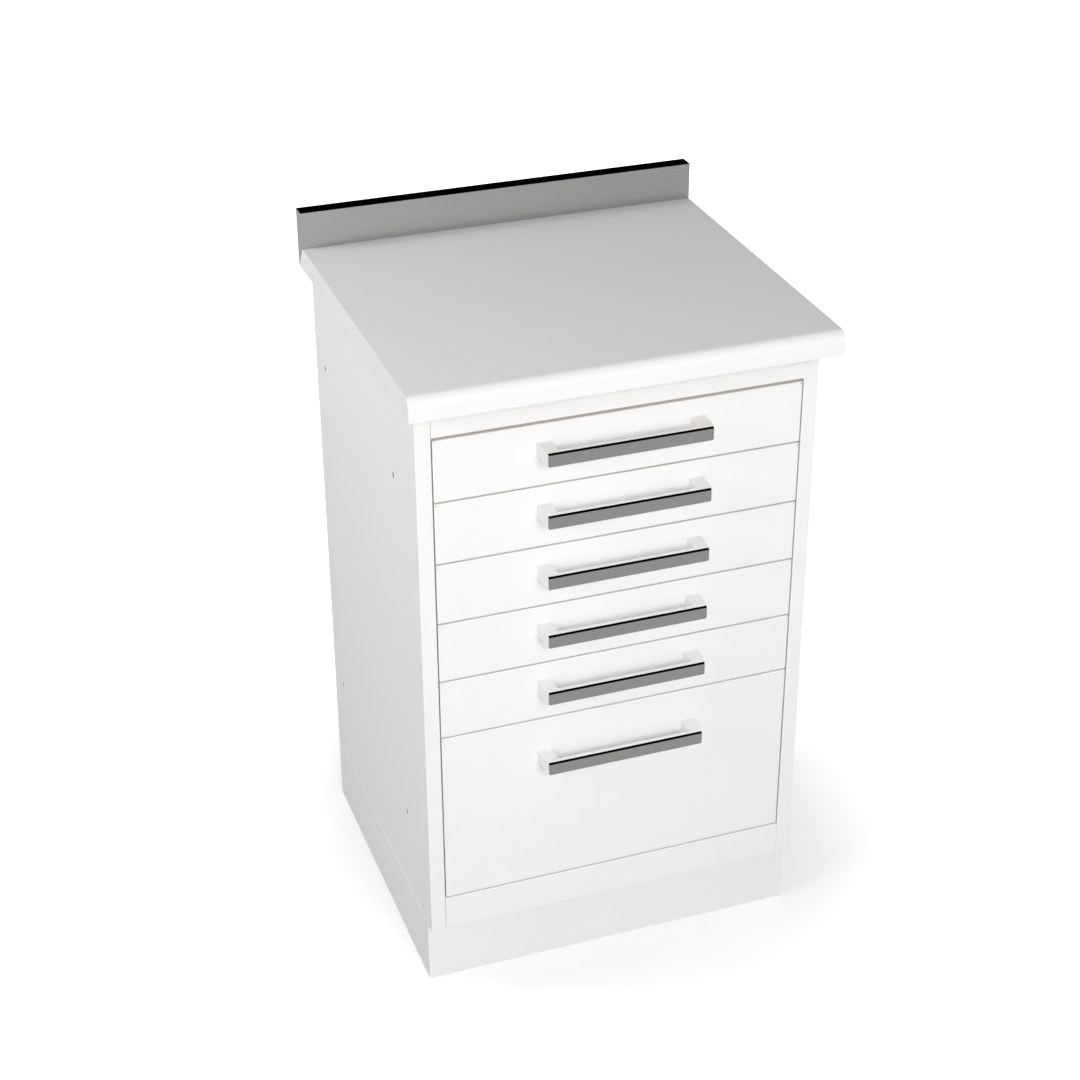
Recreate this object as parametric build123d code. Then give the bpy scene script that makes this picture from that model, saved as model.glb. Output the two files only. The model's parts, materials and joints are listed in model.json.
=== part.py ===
from build123d import *
import os

# A dental drawer cabinet that stands on the floor: a folded sheet-steel carcass on a plinth, with a
# worktop, a polished backsplash, five shallow drawers and a deep one on full-extension runners.
# Millimetres. +X is to the right as one faces the drawers, +Y goes to the back, +Z is up. Every piece is
# drawn with y = 0 on the cabinet's front plane, and save() moves it so that the origin is the centre of
# the footprint on the floor.

# Carcass
carcass_width = 500.0
carcass_depth = 455.0
sheet = 1.0
bend_radius = 1.2
stile_width = 19.25
stile_return = 15.0
carcass_flange = 15.0
seam = 0.15

# Plinth and rails
plinth_height = 91.0
plinth_recess = 17.5
bottom_rail_height = 48.5
bottom_rail_return = 20.0
top_rail_height = 39.5
top_rail_depth = 60.0
top_rail_lip = 15.0
rear_rail_setback = 24.0
rear_rail_depth = 41.0

# Worktop and backsplash
worktop_overhang_side = 15.0
worktop_overhang_front = 33.0
worktop_thickness = 29.0
worktop_edge_radius = 12.0
laminate = 0.8
end_band = 0.8
end_band_edge_radius = 0.5
backsplash_thickness = 21.5
backsplash_height = 48.0
backsplash_foot = 1.0
backsplash_edge_radius = 0.6

# Drawer fronts: each is a pan with its edges folded back and small lips behind
front_gap = 2.0
side_gap = 1.4
top_gap = 3.5
shallow_count = 5
shallow_front_height = 79.0
deep_front_height = 242.0
front_depth = 18.0
front_lip = 12.0
front_side_lip = 22.0
front_bend_radius = 1.2
corner_relief_radius = 0.8
corner_relief_inset = 2.4

# Handles: a white bow with a bright strip let onto its front
handle_hole_spacing = 192.0
handle_projection = 32.0
handle_height = 17.4
handle_leg_width = 18.0
handle_leg_taper_outside = 2.0
handle_leg_taper_inside = 1.0
handle_bar_thickness = 5.6
handle_edge_radius = 0.7
handle_drop_shallow = 31.7
handle_drop_deep = 54.1
strip_thickness = 2.4
strip_height = 17.0
strip_margin = 1.0
strip_corner_radius = 2.0
strip_top_chamfer = 2.1

# Runners
runner_length = 400.0
runner_height = 45.0
runner_thickness = 12.7
runner_sheet = 1.2
runner_setback = 25.0
runner_rise = 28.0
runner_play = 0.3
cabinet_member_depth = 9.6
intermediate_web_offset = 3.2
intermediate_depth = 7.2
drawer_member_depth = 7.5
ball_race = 3.0
ball_cage_width = 3.0
outer_cage_length = 150.0
inner_cage_length = 120.0

# Uprights that carry the runners
upright_depth = 18.0
upright_width = 30.0
upright_sheet = 1.5
front_upright_setback = 40.0
rear_upright_setback = 350.0

# Trays
tray_depth = 410.0
tray_clearance_below = 4.0
shallow_tray_height = 58.0
deep_tray_height = 200.0
tray_hem = 7.0
tray_corner_radius = 3.0

# Screws, rivets, bolts and the holes that take them
screw_radius = 2.0
screw_clearance = 0.1
handle_screw_length = 11.0
handle_screw_head_radius = 4.0
handle_screw_head = 2.2
runner_screw_length = 6.0
runner_screw_head_radius = 3.8
runner_screw_head = 1.6
rivet_radius = 1.6
rivet_head_radius = 3.2
rivet_head = 1.0
worktop_screw_length = 16.0
worktop_screw_head_radius = 4.0
worktop_screw_head = 2.4
worktop_screw_half_spacing = 150.0
backsplash_screw_length = 34.0
backsplash_screw_spacing = 200.0
backsplash_screw_count = 3
backsplash_screw_inset = 8.0
bolt_radius = 3.0
bolt_head_radius = 5.5
bolt_head = 4.0
bolt_clearance = 0.2
plinth_bolt_setbacks = (100.0, 400.0)

# Holes that join one cabinet to the next
joining_hole_radius = 3.5
joining_hole_setback = 96.0
joining_hole_spacing_y = 313.5
joining_hole_spacing_z = 488.0
joining_hole_rise = 123.5

# Heights that follow from the sizes above
front_stack = deep_front_height + shallow_count * (front_gap + shallow_front_height)
opening_bottom = plinth_height + bottom_rail_height
opening_top = opening_bottom + front_gap + front_stack + top_gap
carcass_top = opening_top + top_rail_height
worktop_top = carcass_top + worktop_thickness
backsplash_top = worktop_top + backsplash_height

# Widths and depths that follow from them
half_width = carcass_width / 2
side_face = half_width - sheet
stile_edge = half_width - stile_width
rail_half = stile_edge - seam
front_half = stile_edge - side_gap
runner_plane = side_face - upright_depth
tray_half = runner_plane - runner_thickness
flange_edge = half_width - carcass_flange
worktop_half = half_width + worktop_overhang_side
backsplash_face = carcass_depth - backsplash_thickness
rear_rail_face = carcass_depth - rear_rail_setback
floor_level = plinth_height + sheet
upright_setbacks = (front_upright_setback, rear_upright_setback)
front_reach = max(worktop_overhang_front, handle_projection)
front_plane = (front_reach - carcass_depth) / 2


def slab(x0, x1, y0, y1, z0, z1):
    """A block between two corners."""
    middle = Pos((x0 + x1) / 2, (y0 + y1) / 2, (z0 + z1) / 2)
    return middle * Box(x1 - x0, y1 - y0, z1 - z0)


def pin(axis, radius, start, end, a, b):
    """A round bar from start to end along an axis; a and b are its place on the other two axes."""
    length = end - start
    middle = (start + end) / 2
    if axis == "x":
        return Pos(middle, a, b) * Rot(0, 90, 0) * Cylinder(radius, length)
    if axis == "y":
        return Pos(a, middle, b) * Rot(90, 0, 0) * Cylinder(radius, length)
    return Pos(a, b, middle) * Cylinder(radius, length)


def mirrored(part):
    """The same piece on the other side of the cabinet."""
    return mirror(part, about=Plane.YZ)


def edges_along(part, axis, *places):
    """The straight edges along one axis that pass through the given (coordinate, coordinate) places."""
    index = "XYZ".index(axis)
    found = []
    for edge in part.edges().filter_by(getattr(Axis, axis)):
        centre = tuple(edge.center())
        across = centre[:index] + centre[index + 1:]
        for place in places:
            if abs(across[0] - place[0]) < 0.01 and abs(across[1] - place[1]) < 0.01:
                found.append(edge)
    return found


def rounded(part, radius, axis, *places):
    """The piece with those edges rounded."""
    return fillet(edges_along(part, axis, *places), radius)


def save(node, *pieces):
    """Move the pieces to the model's origin and write them as one node."""
    moved = [Pos(0, front_plane, 0) * solid for piece in pieces for solid in piece.solids()]
    shape = moved[0] if len(moved) == 1 else Compound(children=moved)
    export_step(shape, "parts/" + node + ".step")


# ---------------------------------------------------------------- carcass


def side_panel():
    """The left side: a sheet with its front folded round into the stile, and its other edges folded in."""
    panel = slab(-half_width, -stile_edge, 0, carcass_depth, plinth_height, carcass_top)
    edges = edges_along(panel, "Z", (-half_width, 0), (-stile_edge, 0), (-half_width, carcass_depth))
    edges += edges_along(panel, "Y", (-half_width, plinth_height))
    edges += edges_along(panel, "X", (0, plinth_height))
    panel = fillet(edges, bend_radius)
    back = carcass_depth - sheet
    panel -= slab(-side_face, -stile_edge - sheet, sheet, back, floor_level, carcass_top - sheet)
    panel -= slab(-flange_edge, 0, stile_return, carcass_depth + 1, plinth_height - 1, carcass_top + 1)
    for y, z in joining_holes():
        panel -= pin("x", joining_hole_radius, -half_width - sheet, -side_face + sheet, y, z)
    for y in plinth_bolt_setbacks:
        panel -= plinth_bolt_hole(y)
    return panel


def joining_holes():
    """The four places of the holes that join cabinets side by side."""
    for y in (joining_hole_setback, joining_hole_setback + joining_hole_spacing_y):
        for rise in (joining_hole_rise, joining_hole_rise + joining_hole_spacing_z):
            yield y, plinth_height + rise


def plinth_bolt_x():
    """How far a plinth bolt stands from the middle of the cabinet: the middle of the free flange."""
    return (side_face + flange_edge) / 2


def plinth_bolt_hole(y):
    """A clearance hole on the left for one plinth bolt, through plinth, flange and bottom panel."""
    radius = bolt_radius + bolt_clearance
    return pin("z", radius, plinth_height - 2 * sheet, floor_level + 2 * sheet, -plinth_bolt_x(), y)


def back_panel():
    """The back sheet, in front of the side panels' rear flanges."""
    back = carcass_depth - sheet
    edge = side_face - seam
    panel = slab(-edge, edge, back - sheet, back, floor_level + sheet, carcass_top - sheet - seam)
    return panel


def bottom_panel():
    """The cabinet's floor, which rests on the bottom rail's return and the side panels' flanges."""
    edge = side_face - seam
    front = stile_return + seam
    back = carcass_depth - 2 * sheet - seam
    panel = slab(-edge, edge, front, back, floor_level, floor_level + sheet)
    panel += slab(-rail_half, rail_half, sheet + seam, front, floor_level, floor_level + sheet)
    panel += slab(-edge, edge, back - carcass_flange, back, floor_level, floor_level + sheet)
    for y in plinth_bolt_setbacks:
        panel -= plinth_bolt_hole(y) + mirrored(plinth_bolt_hole(y))
    return panel


def top_rail_front():
    """A channel between the stiles, above the drawers, whose top flange takes two worktop screws."""
    z_top = carcass_top
    rail = slab(-rail_half, rail_half, 0, sheet, opening_top, z_top)
    rail += slab(-rail_half, rail_half, 0, top_rail_lip, opening_top, opening_top + sheet)
    rail += slab(-rail_half, rail_half, 0, top_rail_depth, z_top - sheet, z_top)
    rail = rounded(rail, bend_radius, "X", (0, opening_top), (0, z_top))
    for x in (-worktop_screw_half_spacing, worktop_screw_half_spacing):
        rail -= worktop_screw_hole(x, front_worktop_screw_y())
    return rail


def top_rail_rear():
    """A channel across the back that ties the sides together and takes two worktop screws."""
    z_top = carcass_top
    z_low = z_top - top_rail_height
    edge = flange_edge - seam
    back = rear_rail_face
    front = back - rear_rail_depth
    rail = slab(-edge, edge, back - sheet, back, z_low, z_top)
    rail += slab(-edge, edge, front, back, z_top - sheet, z_top)
    rail += slab(-edge, edge, back - top_rail_lip, back, z_low, z_low + sheet)
    for x in (-worktop_screw_half_spacing, worktop_screw_half_spacing):
        rail -= worktop_screw_hole(x, rear_worktop_screw_y())
    return rail


def bottom_rail_front():
    """A channel between the stiles, below the drawers."""
    z_low = plinth_height
    rail = slab(-rail_half, rail_half, 0, sheet, z_low, opening_bottom)
    rail += slab(-rail_half, rail_half, 0, stile_return, opening_bottom - sheet, opening_bottom)
    rail += slab(-rail_half, rail_half, 0, bottom_rail_return, z_low, z_low + sheet)
    return rounded(rail, bend_radius, "X", (0, z_low), (0, opening_bottom))


def plinth_frame():
    """The plinth: sheet folded round the front, the sides and the back, its long edges folded in.

    The bends between its faces are rounded, and so are those along the top of the front and the sides."""
    depth = carcass_depth - plinth_recess
    middle_y = plinth_recess + depth / 2
    outer = Box(carcass_width, depth, plinth_height)
    hollow = Box(carcass_width - 2 * sheet, depth - 2 * sheet, plinth_height - 2 * sheet)
    window = Box(carcass_width - 2 * carcass_flange, depth - 2 * carcass_flange, plinth_height)
    frame = Pos(0, middle_y, plinth_height / 2) * (outer - hollow - window)
    corners = [(x, y) for x in (-half_width, half_width) for y in (plinth_recess, carcass_depth)]
    edges = edges_along(frame, "Z", *corners)
    edges += edges_along(frame, "X", (plinth_recess, plinth_height))
    edges += edges_along(frame, "Y", (-half_width, plinth_height), (half_width, plinth_height))
    frame = fillet(edges, bend_radius)
    for y in plinth_bolt_setbacks:
        frame -= plinth_bolt_hole(y) + mirrored(plinth_bolt_hole(y))
    return frame


def plinth_bolts():
    """Four bolts up through plinth, side flange and bottom panel, each with its nut."""
    clamped_bottom = plinth_height - sheet
    clamped_top = floor_level + sheet
    pieces = []
    for side in (-1, 1):
        for y in plinth_bolt_setbacks:
            x = side * plinth_bolt_x()
            bolt = pin("z", bolt_head_radius, clamped_bottom - bolt_head, clamped_bottom, x, y)
            bolt += pin("z", bolt_radius, clamped_bottom - sheet, clamped_top + bolt_head + sheet, x, y)
            nut = Pos(x, y, clamped_top) * extrude(RegularPolygon(bolt_head_radius, 6), bolt_head)
            nut_bore = bolt_radius + bolt_clearance / 2
            nut -= pin("z", nut_bore, clamped_top - 1, clamped_top + bolt_head + 1, x, y)
            pieces += [bolt, nut]
    return pieces


# ---------------------------------------------------------------- worktop


def worktop_profile(inset):
    """The worktop's section in the YZ plane, its top and front faces drawn in by the inset.

    The front top edge is an arc, and the back is cut on a slant that takes the backsplash's foot."""
    front = -worktop_overhang_front + inset
    top = worktop_top - inset
    arc_z = worktop_top - worktop_edge_radius
    arc_y = -worktop_overhang_front + worktop_edge_radius
    radius = worktop_edge_radius - inset
    slant_y = slant_at(top)
    with BuildSketch(Plane.YZ) as profile:
        with BuildLine():
            Polyline((arc_y, top), (slant_y, top), (slant_at(carcass_top), carcass_top), (front, carcass_top))
            Line((front, carcass_top), (front, arc_z))
            RadiusArc((front, arc_z), (arc_y, top), radius)
        make_face()
    return profile.sketch


def slant_at(z):
    """How far back the worktop's slanted rear face lies at a height."""
    rise = (worktop_top - z) / worktop_thickness
    return backsplash_face + (backsplash_thickness - backsplash_foot) * rise


def along_x(profile, half):
    """A section in the YZ plane drawn out to both sides."""
    return extrude(profile, half, both=True)


def worktop_core():
    core = along_x(worktop_profile(laminate), worktop_half - end_band)
    for x in (-worktop_screw_half_spacing, worktop_screw_half_spacing):
        for y in (front_worktop_screw_y(), rear_worktop_screw_y()):
            core -= worktop_screw_hole(x, y)
    for x in backsplash_screw_places():
        core -= backsplash_screw_hole(x)
        core -= backsplash_counterbore(x)
    return core


def worktop_laminate():
    """The skin on the top, rolled over the front edge and down to the underside."""
    half = worktop_half - end_band
    return along_x(worktop_profile(0), half) - along_x(worktop_profile(laminate), half + 1)


def worktop_end_bands():
    """A thin band on each end, with the worktop's own section and its outer edges eased."""
    band = Pos(worktop_half - end_band, 0, 0) * extrude(worktop_profile(0), end_band)
    outer_face = band.faces().sort_by(Axis.X)[-1]
    band = fillet(outer_face.edges(), end_band_edge_radius)
    return [band, mirrored(band)]


def backsplash():
    """A bar whose foot tapers down behind the worktop's slanted back."""
    points = [
        (backsplash_face, worktop_top),
        (backsplash_face, backsplash_top),
        (carcass_depth, backsplash_top),
        (carcass_depth, carcass_top),
        (slant_at(carcass_top), carcass_top),
    ]
    with BuildSketch(Plane.YZ) as profile:
        with BuildLine():
            Polyline(*points, close=True)
        make_face()
    bar = along_x(profile.sketch, worktop_half)
    face, top, back = backsplash_face, backsplash_top, carcass_depth
    bar = rounded(bar, backsplash_edge_radius, "X", (face, top), (back, top))
    for x in backsplash_screw_places():
        bar -= backsplash_screw_hole(x)
    return bar


def front_worktop_screw_y():
    return top_rail_depth * 2 / 3


def rear_worktop_screw_y():
    return rear_rail_face - rear_rail_depth / 2


def worktop_screw_hole(x, y):
    """The hole for one worktop screw, up through the rail's flange and into the core."""
    end = carcass_top + worktop_screw_length - sheet
    return pin("z", screw_radius + screw_clearance, carcass_top - 2 * sheet, end + screw_clearance, x, y)


def worktop_screws():
    """Pan-head screws up through the top rails into the worktop's core."""
    seat = carcass_top - sheet
    pieces = []
    for x in (-worktop_screw_half_spacing, worktop_screw_half_spacing):
        for y in (front_worktop_screw_y(), rear_worktop_screw_y()):
            screw = pin("z", worktop_screw_head_radius, seat - worktop_screw_head, seat, x, y)
            screw += pin("z", screw_radius, seat - sheet, seat + worktop_screw_length, x, y)
            pieces.append(screw)
    return pieces


def backsplash_screw_places():
    span = backsplash_screw_spacing * (backsplash_screw_count - 1)
    return [index * backsplash_screw_spacing - span / 2 for index in range(backsplash_screw_count)]


def backsplash_screw_y():
    return carcass_depth - backsplash_screw_inset


def backsplash_screw_hole(x):
    end = carcass_top + backsplash_screw_length + screw_clearance
    radius = screw_radius + screw_clearance
    return pin("z", radius, carcass_top - 1, end, x, backsplash_screw_y())


def backsplash_counterbore(x):
    """The pocket in the core's underside for one backsplash screw's head."""
    radius = worktop_screw_head_radius + screw_clearance
    return pin("z", radius, carcass_top - 1, carcass_top + worktop_screw_head, x, backsplash_screw_y())


def backsplash_screws():
    """Screws up through the worktop's back edge into the backsplash."""
    y = backsplash_screw_y()
    pieces = []
    for x in backsplash_screw_places():
        screw = pin("z", worktop_screw_head_radius, carcass_top, carcass_top + worktop_screw_head, x, y)
        screw += pin("z", screw_radius, carcass_top + sheet, carcass_top + backsplash_screw_length, x, y)
        pieces.append(screw)
    return pieces


# ---------------------------------------------------------------- runners


def on_runner_plane(u0, u1, y0, y1, z0, z1):
    """A block on the left, where u is the distance from the uprights' face towards the tray."""
    return slab(-runner_plane + u0, -runner_plane + u1, y0, y1, z0, z1)


def channel(u_web, u_edge, half_height, y0, y1, z):
    """A member of a runner: a web with a flange above and below, both flanges reaching to u_edge."""
    u0, u1 = min(u_web, u_edge), max(u_web, u_edge)
    outer = on_runner_plane(u0, u1, y0, y1, z - half_height, z + half_height)
    inner_height = half_height - runner_sheet
    if u_web < u_edge:
        u0 += runner_sheet
        u1 += 1
    else:
        u0 -= 1
        u1 -= runner_sheet
    return outer - on_runner_plane(u0, u1, y0 - 1, y1 + 1, z - inner_height, z + inner_height)


def intermediate_half_height():
    return runner_height / 2 - runner_sheet - ball_race


def drawer_member_half_height():
    return intermediate_half_height() - runner_sheet - ball_race


def runner_screw_hole(y, z):
    """The hole for one runner screw, through the member's web and the upright's web."""
    radius = screw_radius + screw_clearance
    start = -runner_plane - upright_sheet - 1
    return pin("x", radius, start, -runner_plane + runner_sheet + 1, y, z)


def runner_screw_ys():
    return [setback + upright_width / 2 for setback in upright_setbacks]


def cabinet_member(z):
    """The left member that is screwed to the uprights."""
    y0, y1 = runner_setback, runner_setback + runner_length
    member = channel(0, cabinet_member_depth, runner_height / 2, y0, y1, z)
    for y in runner_screw_ys():
        member -= runner_screw_hole(y, z)
    return member


def intermediate_member(z):
    """The left member between the other two, and the four ball cages that run with it.

    Each cage fills its race but for the play, and lies against the intermediate member."""
    y0, y1 = runner_setback, runner_setback + runner_length
    half = intermediate_half_height()
    u0 = intermediate_web_offset
    pieces = [channel(u0, u0 + intermediate_depth, half, y0, y1, z)]
    cage = ball_race - runner_play
    outer_u = u0 + runner_sheet
    inner_u = runner_thickness - drawer_member_depth + runner_sheet / 2
    inner_top = half - runner_sheet
    for low, high in ((half, half + cage), (-half - cage, -half)):
        pieces.append(on_runner_plane(
            outer_u, outer_u + ball_cage_width, y1 - outer_cage_length, y1, z + low, z + high))
    for low, high in ((inner_top - cage, inner_top), (-inner_top, -inner_top + cage)):
        pieces.append(on_runner_plane(
            inner_u, inner_u + ball_cage_width, y0, y0 + inner_cage_length, z + low, z + high))
    return pieces


def drawer_member(z):
    """The left member that is riveted to the tray."""
    y0, y1 = runner_setback, runner_setback + runner_length
    u_edge = runner_thickness - drawer_member_depth
    member = channel(runner_thickness, u_edge, drawer_member_half_height(), y0, y1, z)
    for y in runner_screw_ys():
        member -= tray_rivet_hole(y, z)
    return member


def upright(y0):
    """A channel on the left that stands on the bottom panel with its open side against the side panel."""
    z0, z1 = floor_level + sheet, carcass_top - sheet
    y1 = y0 + upright_width
    post = slab(-side_face, -runner_plane, y0, y1, z0, z1)
    inside = slab(-side_face - 1, -runner_plane - upright_sheet, y0 + upright_sheet, y1 - upright_sheet,
                  z0 - 1, z1 + 1)
    post -= inside
    for drawer in drawers:
        post -= runner_screw_hole(y0 + upright_width / 2, drawer["runner_z"])
    return post


def runner_screws(z):
    """The screws of one left runner: head in the member, shank through the upright's web."""
    seat = -runner_plane + runner_sheet
    pieces = []
    for y in runner_screw_ys():
        screw = pin("x", runner_screw_head_radius, seat, seat + runner_screw_head, y, z)
        screw += pin("x", screw_radius, seat - runner_screw_length, seat + runner_screw_head / 2, y, z)
        pieces.append(screw)
    return pieces


# ---------------------------------------------------------------- drawers


def drawer_front(drawer):
    """A pan: the face, four edges folded back, and lips folded in behind; the side lips take the rivets."""
    low, high = drawer["low"], drawer["high"]
    pan = slab(-front_half, front_half, 0, front_depth, low, high)
    edges = edges_along(pan, "Y", *[(side * front_half, z) for side in (-1, 1) for z in (low, high)])
    edges += edges_along(pan, "X", (0, low), (0, high))
    edges += edges_along(pan, "Z", (-front_half, 0), (front_half, 0))
    pan = fillet(edges, front_bend_radius)
    inside = front_half - sheet
    pan -= slab(-inside, inside, sheet, front_depth - sheet, low + sheet, high - sheet)
    window = front_half - front_side_lip
    pan -= slab(-window, window, sheet, front_depth + 1, low + front_lip, high - front_lip)
    for side in (-1, 1):
        x = side * (front_half - corner_relief_inset)
        pan -= pin("y", corner_relief_radius, -1, sheet + 0.5, x, high - corner_relief_inset)
    for x in handle_xs():
        pan -= pin("y", screw_radius + screw_clearance, -1, sheet + 1, x, drawer["handle_z"])
    for x, z in front_rivet_places(drawer):
        pan -= front_rivet_hole(x, z)
    return pan


def handle_xs():
    return (-handle_hole_spacing / 2, handle_hole_spacing / 2)


def front_rivet_places(drawer):
    """Where rivets hold the tray's front wall to the lips at the sides of the pan."""
    x = tray_half - tray_corner_radius - rivet_head_radius
    for side in (-1, 1):
        for share in (1 / 4, 3 / 4):
            yield side * x, drawer["tray_low"] + share * drawer["tray_height"]


def front_rivet_hole(x, z):
    radius = rivet_radius + screw_clearance
    return pin("y", radius, front_depth - sheet - 1, front_depth + sheet + 1, x, z)


def tray_rivet_hole(y, z):
    """The hole on the left for one rivet through the drawer member's web and the tray's side."""
    radius = rivet_radius + screw_clearance
    start = -tray_half - runner_sheet - 1
    return pin("x", radius, start, -tray_half + sheet + 1, y, z)


def tray(drawer):
    """An open box with rounded upright corners and a hem turned out along each side."""
    low, high = drawer["tray_low"], drawer["tray_low"] + drawer["tray_height"]
    y0, y1 = front_depth, front_depth + tray_depth
    box = slab(-tray_half, tray_half, y0, y1, low, high)
    corners = [(x, y) for x in (-tray_half, tray_half) for y in (y0, y1)]
    box = rounded(box, tray_corner_radius, "Z", *corners)
    inside = tray_half - sheet
    hollow = slab(-inside, inside, y0 + sheet, y1 - sheet, low + sheet, high + 1)
    corners = [(x, y) for x in (-inside, inside) for y in (y0 + sheet, y1 - sheet)]
    box -= rounded(hollow, tray_corner_radius - sheet, "Z", *corners)
    for side in (-1, 1):
        x0, x1 = sorted((side * (tray_half - sheet), side * (tray_half + tray_hem)))
        box += slab(x0, x1, y0 + tray_corner_radius, y1 - tray_corner_radius, high - sheet, high)
    for y in runner_screw_ys():
        hole = tray_rivet_hole(y, drawer["runner_z"])
        box -= hole + mirrored(hole)
    for x, z in front_rivet_places(drawer):
        box -= front_rivet_hole(x, z)
    return box


def handle(drawer):
    """The white bow: two legs that taper towards the front, joined by a bar."""
    z = drawer["handle_z"]
    centre = handle_hole_spacing / 2
    base_out = centre + handle_leg_width / 2
    base_in = centre - handle_leg_width / 2
    front_y = -(handle_projection - strip_thickness)
    bar_y = front_y + handle_bar_thickness
    right = [
        (base_in, 0),
        (base_out, 0),
        (base_out - handle_leg_taper_outside, front_y),
    ]
    left = [(-x, y) for x, y in reversed(right)]
    gap_corner = base_in + handle_leg_taper_inside
    with BuildSketch(Plane.XY) as plan:
        with BuildLine():
            Polyline(*right, *left, (-gap_corner, bar_y), (gap_corner, bar_y), close=True)
        make_face()
    bow = Pos(0, 0, z - handle_height / 2) * extrude(plan.sketch, handle_height)
    bow = fillet([edge for edge in bow.edges() if edge.center().Y < -0.01], handle_edge_radius)
    for x in handle_xs():
        depth = handle_screw_length + screw_clearance
        bow -= pin("y", screw_radius + screw_clearance / 2, -depth, 1, x, z)
    return bow


def handle_strip(drawer):
    """The bright strip on the front of the bow: a chamfer along its top, and rounded lower corners."""
    z = drawer["handle_z"]
    half = handle_hole_spacing / 2 + handle_leg_width / 2 - handle_leg_taper_outside - strip_margin
    low, high = z - strip_height / 2, z + strip_height / 2
    strip = slab(-half, half, -handle_projection, strip_thickness - handle_projection, low, high)
    strip = rounded(strip, strip_corner_radius, "Y", (-half, low), (half, low))
    return chamfer(edges_along(strip, "X", (-handle_projection, high)), strip_top_chamfer)


def drawer_fixings(drawer):
    """The drawer's screws and rivets: handle screws, and rivets to the front and to the drawer members."""
    pieces = []
    z = drawer["handle_z"]
    for x in handle_xs():
        screw = pin("y", handle_screw_head_radius, sheet, sheet + handle_screw_head, x, z)
        screw += pin("y", screw_radius, -handle_screw_length, sheet + handle_screw_head / 2, x, z)
        pieces.append(screw)
    for x, z in front_rivet_places(drawer):
        seat = front_depth + sheet
        rivet = pin("y", rivet_head_radius, seat, seat + rivet_head, x, z)
        rivet += pin("y", rivet_radius, front_depth - sheet, seat + rivet_head / 2, x, z)
        pieces.append(rivet)
    for y in runner_screw_ys():
        seat = -tray_half - runner_sheet
        rivet = pin("x", rivet_head_radius, seat - rivet_head, seat, y, drawer["runner_z"])
        rivet += pin("x", rivet_radius, seat - rivet_head / 2, -tray_half + sheet, y, drawer["runner_z"])
        pieces += [rivet, mirrored(rivet)]
    return pieces


def drawer_stack():
    """The drawers from the top down, with the heights that place their pieces."""
    stack = []
    high = opening_top - top_gap
    for number in range(1, shallow_count + 2):
        deep = number == shallow_count + 1
        low = high - (deep_front_height if deep else shallow_front_height)
        tray_low = low + tray_clearance_below
        stack.append({
            "name": "drawer_" + str(number),
            "low": low,
            "high": high,
            "handle_z": high - (handle_drop_deep if deep else handle_drop_shallow),
            "tray_low": tray_low,
            "tray_height": deep_tray_height if deep else shallow_tray_height,
            "runner_z": tray_low + runner_rise,
        })
        high = low - front_gap
    return stack


# ---------------------------------------------------------------- every node

os.makedirs("parts", exist_ok=True)
drawers = drawer_stack()

left_side = side_panel()
save("side_panel_left", left_side)
save("side_panel_right", mirrored(left_side))
save("back_panel", back_panel())
save("bottom_panel", bottom_panel())
save("top_rail_front", top_rail_front())
save("top_rail_rear", top_rail_rear())
save("bottom_rail_front", bottom_rail_front())
save("plinth_frame", plinth_frame())
save("plinth_bolts", *plinth_bolts())
save("worktop_core", worktop_core())
save("worktop_laminate", worktop_laminate())
save("worktop_end_bands", *worktop_end_bands())
save("worktop_screws", *worktop_screws())
save("backsplash", backsplash())
save("backsplash_screws", *backsplash_screws())

left_uprights = [upright(setback) for setback in upright_setbacks]
save("runner_uprights", *left_uprights, *[mirrored(post) for post in left_uprights])
left_members = [cabinet_member(drawer["runner_z"]) for drawer in drawers]
save("runner_cabinet_members", *left_members, *[mirrored(member) for member in left_members])
left_screws = [screw for drawer in drawers for screw in runner_screws(drawer["runner_z"])]
save("runner_screws", *left_screws, *[mirrored(screw) for screw in left_screws])

for drawer in drawers:
    name = drawer["name"]
    save(name + "_front", drawer_front(drawer))
    save(name + "_tray", tray(drawer))
    save(name + "_handle", handle(drawer))
    save(name + "_handle_strip", handle_strip(drawer))
    save(name + "_fixings", *drawer_fixings(drawer))
    left_runner = intermediate_member(drawer["runner_z"])
    save(name + "_runner_intermediates", *left_runner, *[mirrored(piece) for piece in left_runner])
    left_member = drawer_member(drawer["runner_z"])
    save(name + "_runner_members", left_member, mirrored(left_member))
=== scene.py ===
import json

import bpy
from mathutils import Matrix, Vector

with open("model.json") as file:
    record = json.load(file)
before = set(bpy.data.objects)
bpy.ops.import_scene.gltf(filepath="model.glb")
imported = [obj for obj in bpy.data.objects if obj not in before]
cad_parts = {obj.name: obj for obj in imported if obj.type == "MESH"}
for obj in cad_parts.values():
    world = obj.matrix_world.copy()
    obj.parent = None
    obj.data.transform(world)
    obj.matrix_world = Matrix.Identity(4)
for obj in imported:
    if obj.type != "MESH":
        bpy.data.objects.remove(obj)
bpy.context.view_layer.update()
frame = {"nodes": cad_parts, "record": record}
nodes = frame["nodes"]
bpy.ops.object.select_all(action="DESELECT")


# ---------------------------------------------------------------- tools for materials


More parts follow.
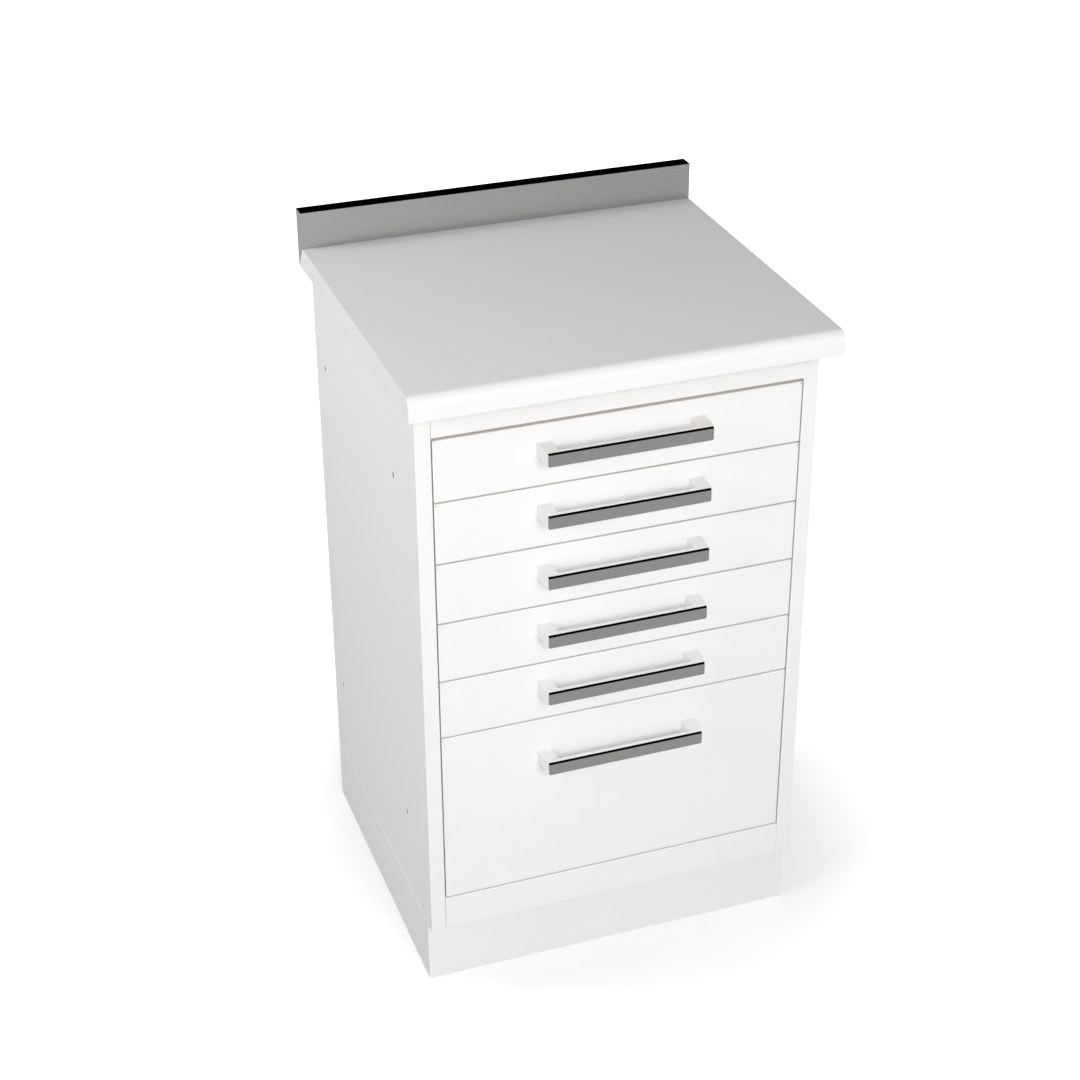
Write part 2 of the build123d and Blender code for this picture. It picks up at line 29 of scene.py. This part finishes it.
class Signal:
    """A socket of a material, which Python's own operators work on."""

    def __init__(self, wiring, socket):
        self.wiring = wiring
        self.socket = socket

    def maths(self, operation, first, second):
        sockets = {0: first, 1: second}
        return self.wiring.node("ShaderNodeMath", {"operation": operation}, sockets)

    def __add__(self, other):
        return self.maths("ADD", self, other)

    def __radd__(self, other):
        return self.maths("ADD", other, self)

    def __sub__(self, other):
        return self.maths("SUBTRACT", self, other)

    def __rsub__(self, other):
        return self.maths("SUBTRACT", other, self)

    def __mul__(self, other):
        return self.maths("MULTIPLY", self, other)

    def __rmul__(self, other):
        return self.maths("MULTIPLY", other, self)

    def between(self, low, high):
        """0 below low and 1 above high, with a soft ramp from one to the other."""
        settings = {"interpolation_type": "SMOOTHSTEP"}
        sockets = {"Value": self, "From Min": low, "From Max": high}
        return self.wiring.node("ShaderNodeMapRange", settings, sockets)


class Wiring:
    """The nodes of one material or of the world."""

    def __init__(self, tree):
        self.tree = tree

    def node(self, kind, settings, sockets, output=0):
        """A node: its settings, the values or links of its sockets, and the output that is used."""
        node = self.tree.nodes.new(kind)
        for name, value in settings.items():
            if name == "stops":
                self.set_stops(node.color_ramp, value)
            else:
                setattr(node, name, value)
        for name, value in sockets.items():
            self.feed(node.inputs[name], value)
        return Signal(self, node.outputs[output])

    def set_stops(self, ramp, stops):
        """Gives a colour ramp its stops. A new stop starts in the middle and is then placed."""
        middle = 0.5
        while len(ramp.elements) < len(stops):
            ramp.elements.new(middle)
        for element, (place, colour) in zip(ramp.elements, stops):
            element.position = place
            element.color = (*colour, 1)

    def feed(self, socket, value):
        """Links a signal to the socket, or sets the socket to a plain value."""
        if isinstance(value, Signal):
            self.tree.links.new(value.socket, socket)
        else:
            socket.default_value = value


# The sockets of Blender's Mix node that take the factor and the two colours, and its colour output.
mix_factor = 0
mix_first = 6
mix_second = 7
mix_result = 2


class Finish(Wiring):
    """One material: a principled shader and the nodes that vary it over the surface."""

    def __init__(self, name, colour, roughness, metallic=0.0):
        self.material = bpy.data.materials.new(name)
        self.material.use_nodes = True
        super().__init__(self.material.node_tree)
        self.shader = self.tree.nodes["Principled BSDF"]
        self.shader.inputs["Base Color"].default_value = (*colour, 1)
        self.shader.inputs["Roughness"].default_value = roughness
        self.shader.inputs["Metallic"].default_value = metallic
        self.bump = None

    def places(self, stretch=(1, 1, 1)):
        """Object coordinates in metres, multiplied by the stretch along each axis."""
        coordinates = self.node("ShaderNodeTexCoord", {}, {}, "Object")
        return self.node("ShaderNodeMapping", {}, {"Vector": coordinates, "Scale": stretch})

    def axes(self):
        """The three object coordinates in metres, each as a signal."""
        place = self.places()
        return [self.node("ShaderNodeSeparateXYZ", {}, {0: place}, axis) for axis in "XYZ"]

    def noise(self, per_metre, detail=2, stretch=(1, 1, 1)):
        """Noise from 0 to 1 whose lumps are about one over per_metre across."""
        sockets = {"Vector": self.places(stretch), "Scale": per_metre, "Detail": detail}
        return self.node("ShaderNodeTexNoise", {}, sockets)

    def cells(self, per_metre, stretch=(1, 1, 1)):
        """A pattern of cells about one over per_metre across, each with its own value from 0 to 1."""
        sockets = {"Vector": self.places(stretch), "Scale": per_metre}
        colour = self.node("ShaderNodeTexVoronoi", {}, sockets, "Color")
        return self.node("ShaderNodeSeparateColor", {}, {0: colour})

    def blend(self, amount, first, second):
        """A colour that goes from the first to the second with the amount."""
        if not isinstance(first, Signal):
            first = (*first, 1)
        if not isinstance(second, Signal):
            second = (*second, 1)
        sockets = {mix_factor: amount, mix_first: first, mix_second: second}
        return self.node("ShaderNodeMix", {"data_type": "RGBA"}, sockets, mix_result)

    def vary(self, **signals):
        """Feeds signals to the shader's sockets, named with underscores for spaces."""
        for socket, signal in signals.items():
            self.feed(self.shader.inputs[socket.replace("_", " ")], signal)

    def raise_surface(self, height, depth):
        """Adds relief: the height from 0 to 1, and the depth in metres that it stands for."""
        sockets = {"Height": height, "Distance": depth, "Strength": 1.0}
        if self.bump is not None:
            sockets["Normal"] = self.bump
        self.bump = self.node("ShaderNodeBump", {}, sockets)
        self.feed(self.shader.inputs["Normal"], self.bump)


# ---------------------------------------------------------------- finishes of the cabinet


def gap_shade_places(finish):
    """Where shade is painted: 1 on the folded edges that face the joints between the drawer fronts, and
    0 elsewhere.
    """
    # Each pair is the start and the end of a soft ramp, in metres.
    behind_outer_faces = (-0.2098, -0.209)
    behind_folds = (-0.1955, -0.193)
    above_bottom_rail = (0.137, 0.1375)
    past_left_stile = (-0.2415, -0.24)
    at_right_stile = (0.24, 0.2415)
    x, y, z = finish.axes()
    depth = y.between(*behind_outer_faces) * (1 - y.between(*behind_folds))
    between_stiles = x.between(*past_left_stile) * (1 - x.between(*at_right_stile))
    return depth * z.between(*above_bottom_rail) * between_stiles


def powder_coat():
    """White powder coat on sheet steel: a fine orange peel, slightly uneven in gloss and tone.

    The folded edges that face the joints between the fronts get a darker, warmer colour, which is
    painted shade for the joints."""
    darker_coat = (0.864, 0.864, 0.86)
    lighter_coat = (0.878, 0.878, 0.876)
    # Painted shade: the darker, warmer colour given to the edges in the joints between the fronts
    painted_gap_shade = (0.84, 0.80, 0.76)
    finish = Finish("white_powder_coat", (0.87, 0.868, 0.862), 0.42)
    cloud = finish.noise(per_metre=9, detail=3)
    coat = finish.blend(cloud, darker_coat, lighter_coat)
    peel = finish.noise(per_metre=620)
    finish.vary(
        # The base colour turns to the painted shade on the edges in the joints between the fronts
        Base_Color=finish.blend(gap_shade_places(finish), coat, painted_gap_shade),
        Roughness=0.38 + 0.06 * cloud + 0.05 * peel,
    )
    finish.raise_surface(peel, depth=0.00003)
    finish.raise_surface(finish.noise(per_metre=160, detail=1), depth=0.00003)
    return finish.material


def handle_plastic():
    """Glossy white moulded plastic."""
    darker = (0.832, 0.832, 0.83)
    lighter = (0.848, 0.848, 0.846)
    finish = Finish("white_moulded_handle", (0.84, 0.84, 0.84), 0.25)
    grain = finish.noise(per_metre=1500)
    cloud = finish.noise(per_metre=40)
    finish.vary(Base_Color=finish.blend(cloud, darker, lighter), Roughness=0.22 + 0.08 * grain)
    finish.raise_surface(grain, depth=0.00001)
    return finish.material


def polished_metal(name, colour, roughness):
    """Polished metal with fine marks along its length, smeared a little in places."""
    darkest_mark = 0.94
    lightest_mark = 1.04
    finish = Finish(name, colour, roughness, metallic=1.0)
    marks = finish.noise(per_metre=900, detail=4, stretch=(0.03, 1, 1))
    cloud = finish.noise(per_metre=14)
    darker = tuple(c * darkest_mark for c in colour)
    lighter = tuple(c * lightest_mark for c in colour)
    finish.vary(
        Base_Color=finish.blend(marks, darker, lighter),
        Roughness=roughness + 0.03 * marks + 0.03 * cloud,
    )
    finish.raise_surface(marks, depth=0.000004)
    return finish.material


def worktop_skin():
    """White laminate with a fine pearl texture."""
    darker = (0.847, 0.847, 0.844)
    lighter = (0.863, 0.863, 0.86)
    finish = Finish("white_worktop_laminate", (0.855, 0.855, 0.852), 0.38)
    pearl = finish.noise(per_metre=1100, detail=3)
    cloud = finish.noise(per_metre=6, detail=3)
    finish.vary(Base_Color=finish.blend(cloud, darker, lighter), Roughness=0.34 + 0.08 * pearl)
    finish.raise_surface(pearl, depth=0.000025)
    return finish.material


def chipboard():
    """Pressed wood chips that lie flat in the board, with a fine grain over them."""
    dark_chip = (0.30, 0.20, 0.11)
    usual_chip = (0.52, 0.39, 0.25)
    pale_chip = (0.70, 0.57, 0.40)
    finish = Finish("chipboard", (0.55, 0.42, 0.28), 0.8)
    chips = finish.cells(per_metre=330, stretch=(1, 1, 2.2))
    grain = finish.noise(per_metre=900, detail=4, stretch=(1, 1, 3))
    spread = 0.65 * chips + 0.35 * grain
    ramp = {"stops": [(0.0, dark_chip), (0.45, usual_chip), (1.0, pale_chip)]}
    finish.vary(Base_Color=finish.node("ShaderNodeValToRGB", ramp, {0: spread}))
    finish.raise_surface(spread, depth=0.0003)
    return finish.material


def galvanised():
    """Zinc on rolled steel: faint spangles and drawing marks along the runner."""
    darker = (0.54, 0.55, 0.565)
    lighter = (0.70, 0.71, 0.72)
    finish = Finish("galvanised_steel", (0.62, 0.63, 0.64), 0.35, metallic=0.6)
    spangle = finish.cells(per_metre=160)
    marks = finish.noise(per_metre=700, detail=3, stretch=(1, 0.05, 1))
    finish.vary(
        Base_Color=finish.blend(0.6 * spangle + 0.4 * marks, darker, lighter),
        Roughness=0.28 + 0.14 * spangle + 0.06 * marks,
    )
    finish.raise_surface(marks, depth=0.00001)
    return finish.material


def zinc_plate():
    """Bright zinc plate on screws, rivets, bolts and nuts."""
    darker = (0.58, 0.59, 0.62)
    lighter = (0.72, 0.73, 0.75)
    finish = Finish("zinc_plated_fixings", (0.66, 0.67, 0.70), 0.3, metallic=0.75)
    wear = finish.noise(per_metre=500, detail=3)
    finish.vary(Base_Color=finish.blend(wear, darker, lighter), Roughness=0.22 + 0.18 * wear)
    finish.raise_surface(wear, depth=0.00002)
    return finish.material


finishes = {
    "white_steel": powder_coat(),
    "white_handle": handle_plastic(),
    "polished_metal": polished_metal("polished_backsplash", (0.60, 0.598, 0.59), 0.06),
    "worktop_laminate": worktop_skin(),
    "board_core": chipboard(),
    "galvanised_steel": galvanised(),
    "zinc_fasteners": zinc_plate(),
}
strip_metal = polished_metal("polished_handle_strip", (0.55, 0.547, 0.54), 0.06)

for part in frame["record"]["subparts"]:
    name = part["node"]
    finish = strip_metal if name.endswith("_handle_strip") else finishes[part["material_slot"]]
    materials = nodes[name].data.materials
    materials.clear()
    materials.append(finish)


# ---------------------------------------------------------------- floor, light and camera


def studio_floor():
    """A pale floor: white to the camera apart from the cabinet's shadow, and light grey in metal.

    The camera sees the lamps' light on it and a glow added to that. The glow is weak beside the
    cabinet, so that the shadow shows, and full further out."""
    floor_size = 30
    light_given_back = 0.5
    seen_paint = 0.8
    weak_glow = 0.2
    full_glow = 1.0
    glow_grows_between = (0.25, 0.8)
    brightness_in_metal = 0.5
    bpy.ops.mesh.primitive_plane_add(size=floor_size, location=(0, 0, 0))
    floor = bpy.context.object
    floor.name = "studio_floor"
    finish = Finish("pale_floor", (light_given_back, light_given_back, light_given_back), 0.9)

    def glow(strength, colour=(1, 1, 1)):
        return finish.node("ShaderNodeEmission", {}, {"Color": (*colour, 1), "Strength": strength})

    def mix(factor, first, second):
        return finish.node("ShaderNodeMixShader", {}, {0: factor, 1: first, 2: second})

    camera_ray = finish.node("ShaderNodeLightPath", {}, {}, "Is Camera Ray")
    glossy_ray = finish.node("ShaderNodeLightPath", {}, {}, "Is Glossy Ray")
    place = finish.node("ShaderNodeTexCoord", {}, {}, "Object")
    distance = finish.node("ShaderNodeVectorMath", {"operation": "LENGTH"}, {0: place}, "Value")
    added = mix(distance.between(*glow_grows_between), glow(weak_glow), glow(full_glow))
    paint = finish.node("ShaderNodeBsdfDiffuse", {}, {"Color": (seen_paint, seen_paint, seen_paint, 1)})
    seen = finish.node("ShaderNodeAddShader", {}, {0: added, 1: paint})
    own = Signal(finish, finish.shader.outputs[0])
    reflected = mix(glossy_ray, own, glow(brightness_in_metal, (1, 1, 0.99)))
    surface = finish.tree.nodes["Material Output"].inputs["Surface"]
    finish.feed(surface, mix(camera_ray, reflected, seen))
    floor.data.materials.append(finish.material)


def soft_lamp(name, place, aim, width, height, power):
    """A rectangular softbox turned towards a point. Metal doesn't mirror it."""
    lamp = bpy.data.lights.new(name, "AREA")
    lamp.shape = "RECTANGLE"
    lamp.size = width
    lamp.size_y = height
    lamp.energy = power
    softbox = bpy.data.objects.new(name, lamp)
    bpy.context.scene.collection.objects.link(softbox)
    softbox.location = place
    softbox.rotation_euler = (Vector(place) - Vector(aim)).to_track_quat("Z", "Y").to_euler()
    softbox.visible_glossy = False


def surroundings():
    """The world: white to the camera, and an even weak light on the cabinet.

    In metal it is a pale horizon under a dark ceiling."""
    ambient = 0.28
    horizon_brightness = 0.5
    ceiling_starts_between = (0.02, 0.26)
    world = bpy.data.worlds.new("white_studio")
    world.use_nodes = True
    bpy.context.scene.world = world
    wiring = Wiring(world.node_tree)
    background = wiring.tree.nodes["Background"]
    camera_ray = wiring.node("ShaderNodeLightPath", {}, {}, "Is Camera Ray")
    glossy_ray = wiring.node("ShaderNodeLightPath", {}, {}, "Is Glossy Ray")
    direction = wiring.node("ShaderNodeTexCoord", {}, {}, "Generated")
    height = wiring.node("ShaderNodeSeparateXYZ", {}, {0: direction}, "Z")
    horizon = horizon_brightness - horizon_brightness * height.between(*ceiling_starts_between)
    light = glossy_ray * horizon + (1 - glossy_ray) * ambient
    wiring.feed(background.inputs["Color"], (1, 1, 1, 1))
    wiring.feed(background.inputs["Strength"], camera_ray + (1 - camera_ray) * light)


def main_camera():
    """The photograph's viewpoint: above the worktop, in front and to the left."""
    place = Vector((-0.83883, -2.2929, 1.88665))
    right = Vector((0.94184, -0.33604, -0.00405))
    up = Vector((0.16878, 0.46256, 0.87037))
    forward = Vector((0.29060, 0.82043, -0.49238))
    lens = bpy.data.cameras.new("main_camera")
    lens.lens = 72.15
    lens.sensor_width = 36
    camera = bpy.data.objects.new("main_camera", lens)
    bpy.context.scene.collection.objects.link(camera)
    turn = Matrix((right, up, -forward)).transposed()
    camera.matrix_world = Matrix.Translation(place) @ turn.to_4x4()
    bpy.context.scene.camera = camera


# Each softbox: its name, place, the point it faces, width and height in metres, and power in watts.
softboxes = [
    ("front_softbox", (-0.3, -3.0, 1.9), (0, -0.2, 0.6), 1.6, 1.2, 57),
    ("low_front_softbox", (0, -3.2, 0.7), (0, -0.2, 0.6), 2.0, 1.2, 13),
    ("high_front_softbox", (0, -2.9, 3.0), (0, 0, 0.6), 1.0, 1.0, 5),
    ("left_softbox", (-3.0, -0.9, 2.1), (0, 0, 0.6), 1.0, 1.0, 29),
    ("near_left_softbox", (-1.7, 0.5, 1.8), (0, 0, 0.6), 0.6, 0.6, 14),
    ("right_softbox", (3.2, 0.3, 0.9), (0, 0, 0.5), 1.8, 1.4, 24),
    ("back_softbox", (0.6, 3.4, 0.9), (0, 0, 0.5), 2.4, 1.4, 17),
]

studio_floor()
surroundings()
for softbox in softboxes:
    soft_lamp(*softbox)
main_camera()
bpy.context.scene.view_settings.view_transform = "Standard"
